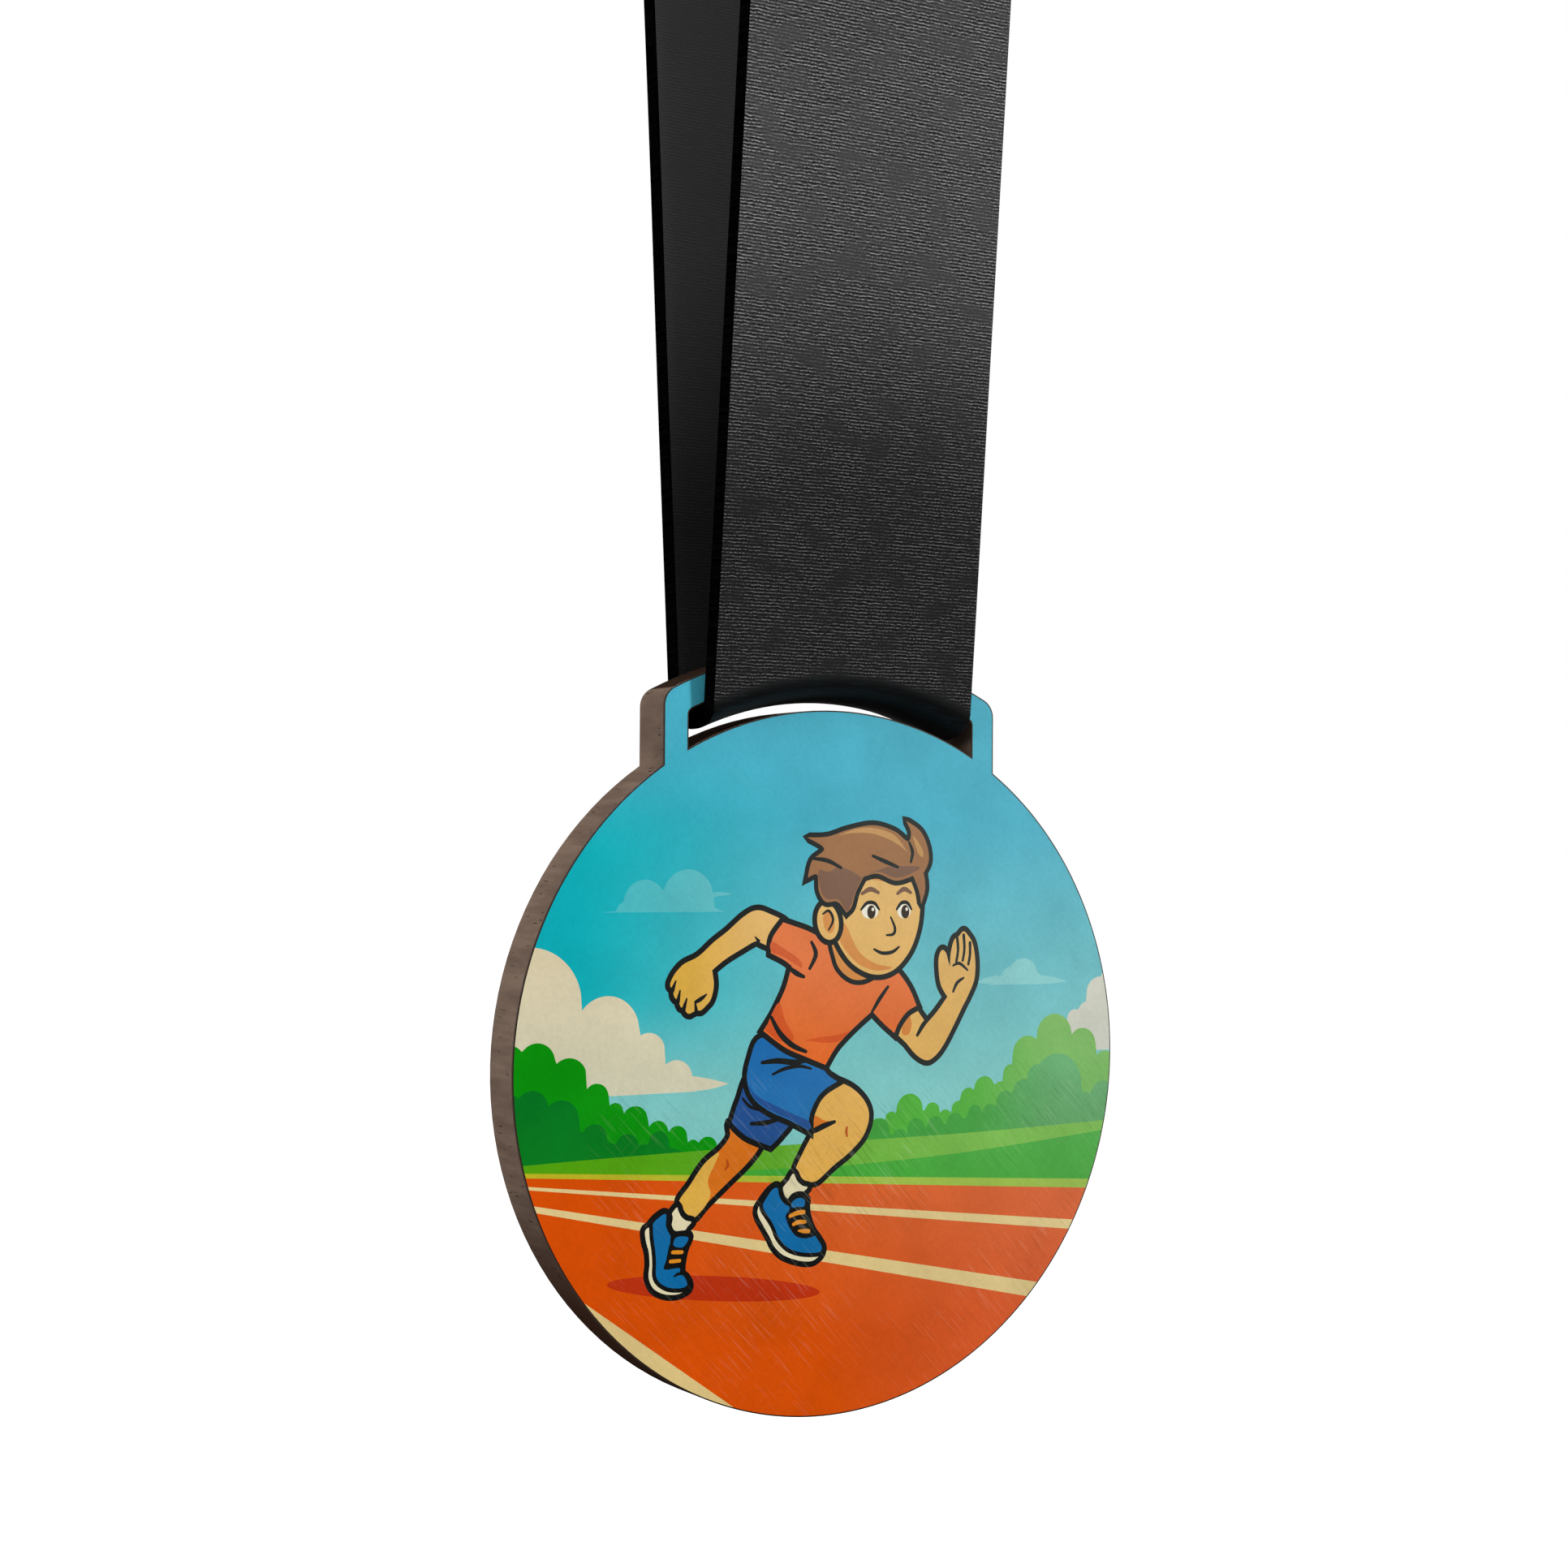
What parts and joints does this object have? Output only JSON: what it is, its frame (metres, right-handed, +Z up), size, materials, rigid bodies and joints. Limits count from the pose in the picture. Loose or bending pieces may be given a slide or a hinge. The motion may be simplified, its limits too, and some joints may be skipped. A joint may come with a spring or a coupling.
{
  "type": "sports finisher medal",
  "caption": "Round wooden finisher medal with a printed front and an arched slot at the top, hung on a wide flat neck ribbon that is sewn into a closed loop.",
  "frame": {"origin": "centre of the round support that the ribbon loop hangs over, midway across the ribbon's width", "axes": "+X along the support, to the viewer's right; +Y towards the medal's back, so the printed front faces -Y; +Z up"},
  "size_m": [0.07, 0.071, 0.4469],
  "materials": {
    "wood": "sealed dark brown fibreboard with a cut edge",
    "print": "satin full-colour print with fine brush lines",
    "ribbon": "black ribbed woven ribbon",
    "thread": "black sewing thread"
  },
  "bodies": {
    "ribbon": {"ribbon_saddle": "ribbon", "ribbon_front_strand": "ribbon", "ribbon_back_strand": "ribbon", "ribbon_front_flex": "ribbon", "ribbon_back_flex": "ribbon", "ribbon_lap": "ribbon", "lap_stitching": "thread"},
    "medal": {"medal_blank": "wood", "printed_face": "print", "ribbon_bight": "ribbon"}
  },
  "joints": [
    {"name": "medal_swing", "type": "hinge", "parent": "ribbon", "child": "medal", "pos_m": [0, 0, -0.33813], "axis": [1, 0, 0], "range_deg": [-75, 75], "deforming": ["ribbon_front_flex", "ribbon_back_flex"]}
  ]
}
